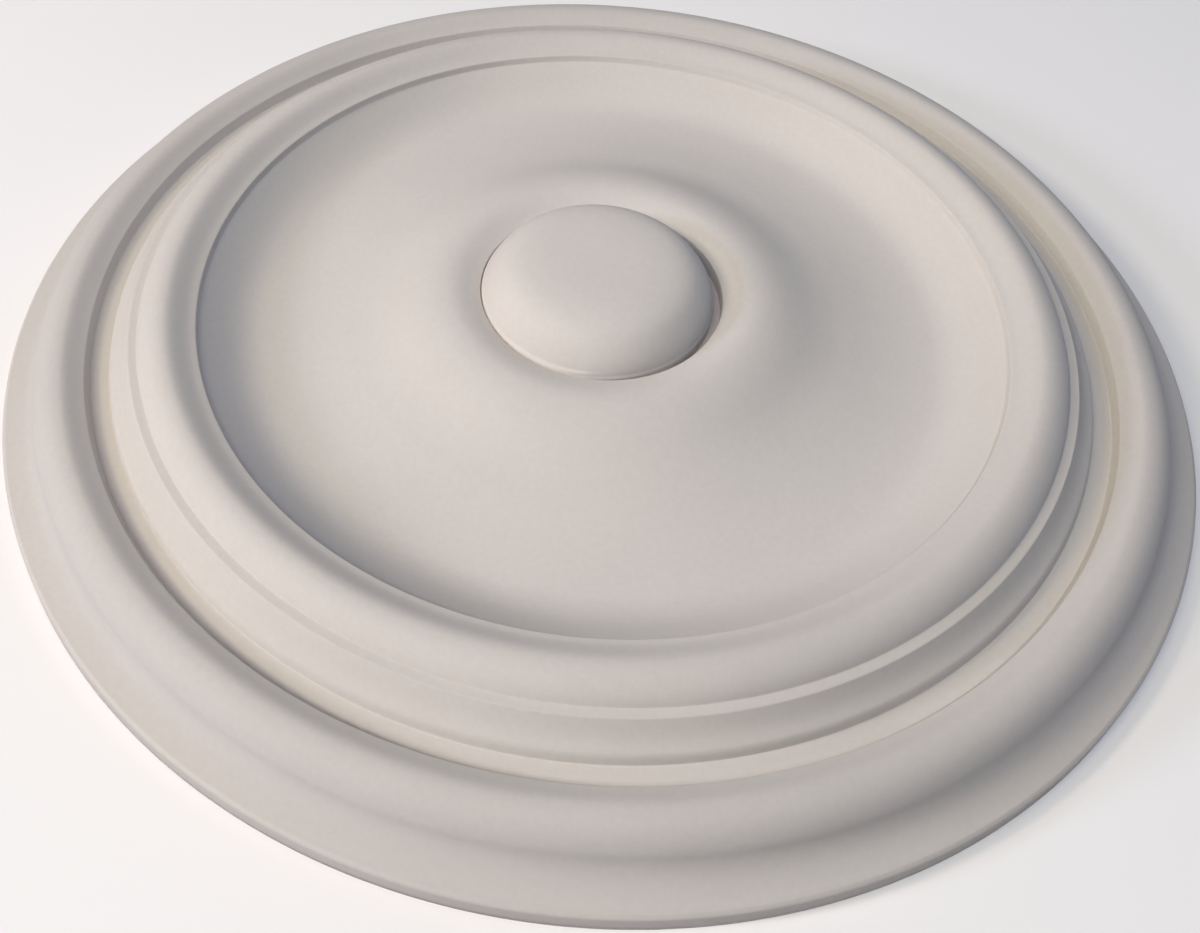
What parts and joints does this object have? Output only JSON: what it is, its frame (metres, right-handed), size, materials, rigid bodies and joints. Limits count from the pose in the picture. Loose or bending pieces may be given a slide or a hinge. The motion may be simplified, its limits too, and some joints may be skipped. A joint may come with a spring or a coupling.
{
  "type": "ceiling rose",
  "caption": "Round moulded ceiling rose with stepped outer rolls, a shallow dish and a raised boss that holds a domed centre button.",
  "frame": {"origin": "centre of the flat back face, with the rose lying on its back", "axes": "+Z along the rose's axis out of its face, away from the ceiling that it is fixed to; X and Y in the plane of the back"},
  "size_m": [0.5, 0.5, 0.0544],
  "materials": {
    "primed_white": "matte factory primer on moulded polyurethane",
    "button_white": "matte factory primer on moulded polyurethane"
  },
  "bodies": {
    "root": {"rose": "primed_white", "centre_button": "button_white"}
  },
  "joints": []
}
